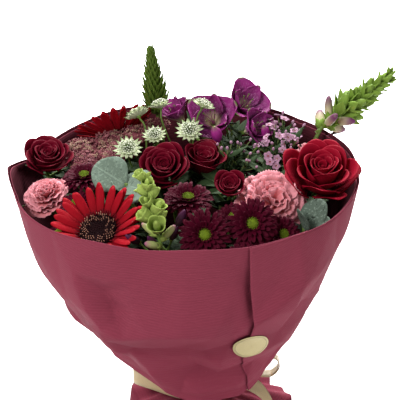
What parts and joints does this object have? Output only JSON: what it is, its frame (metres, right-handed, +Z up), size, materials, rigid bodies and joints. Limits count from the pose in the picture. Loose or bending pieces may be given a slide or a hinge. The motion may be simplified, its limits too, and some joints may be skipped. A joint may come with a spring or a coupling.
{
  "type": "flower bouquet",
  "caption": "Hand-tied bouquet of mixed cut flowers in a flared wrap of two sheets of ribbed paper, with a gathered paper skirt, a satin ribbon bow and a plain oval seal. It stands upright.",
  "frame": {"origin": "on the ground, at the centre of the middle stem's cut end, on the axis of the tied bundle", "axes": "+Z up along the tied stems, the longest extent. -Y towards the viewer, the side where the outer paper laps over itself. +X to the viewer's right"},
  "size_m": [0.4258, 0.3715, 0.488],
  "materials": {
    "petals_red": "soft satin petal",
    "petals_rose_red": "velvety petal",
    "petals_dark_red": "velvety petal",
    "petals_pink": "thin frilled petal",
    "petals_wine": "soft satin petal",
    "petals_purple": "satin petal with streaks",
    "florets_dusty_rose": "matt, finely beaded",
    "bracts_greenish_white": "matt, papery",
    "florets_lilac": "waxy satin",
    "buds_green": "satin",
    "bracts_green": "satin",
    "leaves_grey_green": "matt, waxy bloom",
    "leaves_dark_green": "satin leaf",
    "stems_green": "satin stalk",
    "disc_dark": "matt, bristled",
    "paper_outer": "ribbed kraft, matt",
    "paper_inner": "ribbed kraft, matt",
    "satin_ribbon": "woven satin",
    "twine": "twisted jute",
    "gold_foil": "embossed metal foil"
  },
  "bodies": {
    "root": {"gerbera_front_petals": "petals_red", "gerbera_back_petals": "petals_red", "gerbera_front_disc": "disc_dark", "gerbera_back_disc": "disc_dark", "rose_right_bloom": "petals_rose_red", "rose_center_bloom": "petals_dark_red", "rose_mid_bloom": "petals_dark_red", "rose_left_bloom": "petals_dark_red", "rose_small_bloom": "petals_dark_red", "carnation_left_bloom": "petals_pink", "carnation_right_bloom": "petals_pink", "carnation_back_bloom": "petals_pink", "chrysanthemum_left_bloom_1": "petals_wine", "chrysanthemum_left_bloom_2": "petals_wine", "chrysanthemum_left_bloom_3": "petals_wine", "chrysanthemum_front_bloom_1": "petals_wine", "chrysanthemum_front_bloom_2": "petals_wine", "chrysanthemum_front_bloom_3": "petals_wine", "chrysanthemum_right_bloom_1": "petals_wine", "chrysanthemum_right_bloom_2": "petals_wine", "chrysanthemum_right_bloom_3": "petals_wine", "lily_bloom_1": "petals_purple", "lily_bloom_2": "petals_purple", "lily_bloom_3": "petals_purple", "lily_bloom_4": "petals_purple", "sedum_head": "florets_dusty_rose", "astrantia_left": "bracts_greenish_white", "astrantia_right": "bracts_greenish_white", "waxflower_right": "florets_lilac", "waxflower_mid": "florets_lilac", "snapdragon_front": "buds_green", "snapdragon_right": "buds_green", "green_spike": "bracts_green", "eucalyptus_left": "leaves_grey_green", "eucalyptus_right": "leaves_grey_green", "greens_right": "leaves_dark_green", "greens_front": "leaves_dark_green", "lily_stem": "leaves_dark_green", "rose_center_stem": "leaves_dark_green", "rose_mid_stem": "leaves_dark_green", "rose_right_stem": "leaves_dark_green", "rose_left_stem": "leaves_dark_green", "rose_small_stem": "leaves_dark_green", "gerbera_front_stem": "stems_green", "gerbera_back_stem": "stems_green", "carnation_left_stem": "stems_green", "carnation_right_stem": "stems_green", "carnation_back_stem": "stems_green", "chrysanthemum_left_stem": "stems_green", "chrysanthemum_front_stem": "stems_green", "chrysanthemum_right_stem": "stems_green", "sedum_stem": "stems_green", "paper_collar": "paper_outer", "paper_skirt": "paper_outer", "paper_lining": "paper_inner", "ribbon": "satin_ribbon", "binding_twine": "twine", "foil_seal": "gold_foil"}
  },
  "joints": []
}
